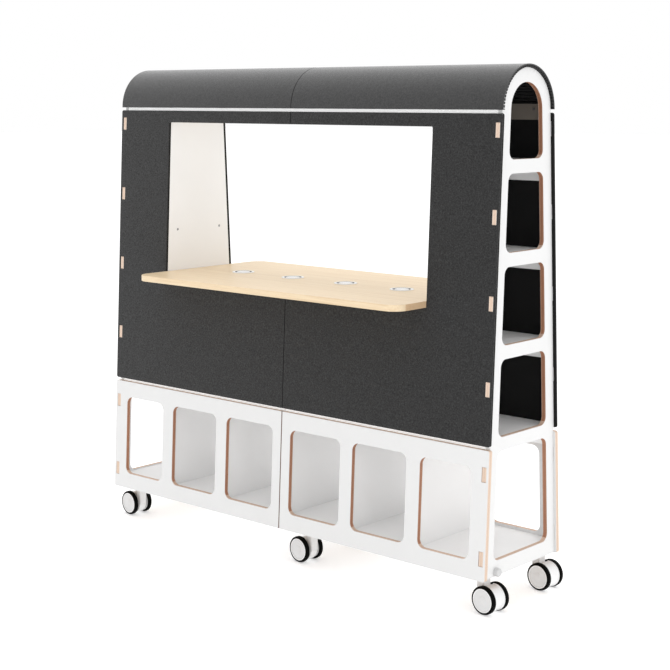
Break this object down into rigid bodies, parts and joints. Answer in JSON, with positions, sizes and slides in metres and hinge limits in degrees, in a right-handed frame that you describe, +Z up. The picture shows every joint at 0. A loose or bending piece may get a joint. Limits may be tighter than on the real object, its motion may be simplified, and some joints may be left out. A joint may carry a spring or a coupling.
{
  "type": "mobile partition with standing desk",
  "caption": "Felt-clad partition on twin-wheel casters with an arched top, a window with a two-sided standing desk, open end shelves and a base of open compartments.",
  "frame": {"origin": "on the floor, under the middle of the footprint", "axes": "+X along the wall, -Y the front face, +Z up"},
  "size_m": [2.0384, 0.722, 1.954],
  "materials": {
    "white_laminate_ply": "white laminate on birch plywood, edges bare",
    "charcoal_felt": "pressed polyester felt board",
    "maple_board": "light maple, satin",
    "birch_ply": "bare birch plywood",
    "white_plastic": "white moulded, satin",
    "black_plastic": "black moulded, matte",
    "rubber_tyre": "black rubber",
    "zinc_steel": "zinc plated",
    "screw_steel": "plain steel"
  },
  "bodies": {
    "partition": {"end_frame_left": "white_laminate_ply", "window_jamb_left": "white_laminate_ply", "base_front_left": "white_laminate_ply", "base_back_left": "white_laminate_ply", "base_floor_left": "white_laminate_ply", "base_top_left": "white_laminate_ply", "tower_shelves_left": "white_laminate_ply", "cap_left": "charcoal_felt", "felt_front_left": "charcoal_felt", "felt_back_left": "charcoal_felt", "base_divider_left_inner": "white_laminate_ply", "base_divider_left_outer": "white_laminate_ply", "end_frame_right": "white_laminate_ply", "window_jamb_right": "white_laminate_ply", "base_front_right": "white_laminate_ply", "base_back_right": "white_laminate_ply", "base_floor_right": "white_laminate_ply", "base_top_right": "white_laminate_ply", "tower_shelves_right": "white_laminate_ply", "cap_right": "charcoal_felt", "felt_front_right": "charcoal_felt", "felt_back_right": "charcoal_felt", "base_divider_right_inner": "white_laminate_ply", "base_divider_right_outer": "white_laminate_ply", "base_divider_seam": "white_laminate_ply", "shelf_battens": "white_laminate_ply", "top_rails": "white_laminate_ply", "window_header": "white_laminate_ply", "seam_posts": "birch_ply", "desk_cleats": "birch_ply", "caster_bearers": "birch_ply", "desktop": "maple_board", "grommet_sleeves": "white_plastic", "grommet_liners": "black_plastic", "end_bumpers": "white_plastic", "frame_screws": "screw_steel", "caster_screws": "screw_steel", "caster_mounts": "zinc_steel"},
    "lid_1": {"grommet_lid_1": "white_plastic"},
    "lid_2": {"grommet_lid_2": "white_plastic"},
    "lid_3": {"grommet_lid_3": "white_plastic"},
    "lid_4": {"grommet_lid_4": "white_plastic"},
    "swivel_left_front": {"caster_hood_left_front": "white_plastic"},
    "wheels_left_front": {"caster_hubs_left_front": "white_plastic", "caster_tyres_left_front": "rubber_tyre"},
    "swivel_middle_front": {"caster_hood_middle_front": "white_plastic"},
    "wheels_middle_front": {"caster_hubs_middle_front": "white_plastic", "caster_tyres_middle_front": "rubber_tyre"},
    "swivel_right_front": {"caster_hood_right_front": "white_plastic"},
    "wheels_right_front": {"caster_hubs_right_front": "white_plastic", "caster_tyres_right_front": "rubber_tyre"},
    "swivel_left_back": {"caster_hood_left_back": "white_plastic"},
    "wheels_left_back": {"caster_hubs_left_back": "white_plastic", "caster_tyres_left_back": "rubber_tyre"},
    "swivel_middle_back": {"caster_hood_middle_back": "white_plastic"},
    "wheels_middle_back": {"caster_hubs_middle_back": "white_plastic", "caster_tyres_middle_back": "rubber_tyre"},
    "swivel_right_back": {"caster_hood_right_back": "white_plastic"},
    "wheels_right_back": {"caster_hubs_right_back": "white_plastic", "caster_tyres_right_back": "rubber_tyre"}
  },
  "joints": [
    {"name": "lid_1_turn", "type": "hinge", "parent": "partition", "child": "lid_1", "pos_m": [-0.4275, 0, 1.106], "axis": [0, 0, 1], "continuous": true},
    {"name": "lid_2_turn", "type": "hinge", "parent": "partition", "child": "lid_2", "pos_m": [-0.1425, 0, 1.106], "axis": [0, 0, 1], "continuous": true},
    {"name": "lid_3_turn", "type": "hinge", "parent": "partition", "child": "lid_3", "pos_m": [0.1425, 0, 1.106], "axis": [0, 0, 1], "continuous": true},
    {"name": "lid_4_turn", "type": "hinge", "parent": "partition", "child": "lid_4", "pos_m": [0.4275, 0, 1.106], "axis": [0, 0, 1], "continuous": true},
    {"name": "swivel_left_front", "type": "hinge", "parent": "partition", "child": "swivel_left_front", "pos_m": [-0.93, -0.147, 0.12], "axis": [0, 0, 1], "continuous": true},
    {"name": "roll_left_front", "type": "hinge", "parent": "swivel_left_front", "child": "wheels_left_front", "pos_m": [-0.96387, -0.14404, 0.052], "axis": [-0.0872, -0.9962, 0], "continuous": true},
    {"name": "swivel_middle_front", "type": "hinge", "parent": "partition", "child": "swivel_middle_front", "pos_m": [0.0955, -0.147, 0.12], "axis": [0, 0, 1], "continuous": true},
    {"name": "roll_middle_front", "type": "hinge", "parent": "swivel_middle_front", "child": "wheels_middle_front", "pos_m": [0.06163, -0.14404, 0.052], "axis": [-0.0872, -0.9962, 0], "continuous": true},
    {"name": "swivel_right_front", "type": "hinge", "parent": "partition", "child": "swivel_right_front", "pos_m": [0.93, -0.147, 0.12], "axis": [0, 0, 1], "continuous": true},
    {"name": "roll_right_front", "type": "hinge", "parent": "swivel_right_front", "child": "wheels_right_front", "pos_m": [0.96387, -0.14996, 0.052], "axis": [0.0872, 0.9962, 0], "continuous": true},
    {"name": "swivel_left_back", "type": "hinge", "parent": "partition", "child": "swivel_left_back", "pos_m": [-0.93, 0.205, 0.12], "axis": [0, 0, 1], "continuous": true},
    {"name": "roll_left_back", "type": "hinge", "parent": "swivel_left_back", "child": "wheels_left_back", "pos_m": [-0.96387, 0.20796, 0.052], "axis": [-0.0872, -0.9962, 0], "continuous": true},
    {"name": "swivel_middle_back", "type": "hinge", "parent": "partition", "child": "swivel_middle_back", "pos_m": [0.0955, 0.205, 0.12], "axis": [0, 0, 1], "continuous": true},
    {"name": "roll_middle_back", "type": "hinge", "parent": "swivel_middle_back", "child": "wheels_middle_back", "pos_m": [0.06163, 0.20796, 0.052], "axis": [-0.0872, -0.9962, 0], "continuous": true},
    {"name": "swivel_right_back", "type": "hinge", "parent": "partition", "child": "swivel_right_back", "pos_m": [0.93, 0.205, 0.12], "axis": [0, 0, 1], "continuous": true},
    {"name": "roll_right_back", "type": "hinge", "parent": "swivel_right_back", "child": "wheels_right_back", "pos_m": [0.96387, 0.20204, 0.052], "axis": [0.0872, 0.9962, 0], "continuous": true}
  ]
}
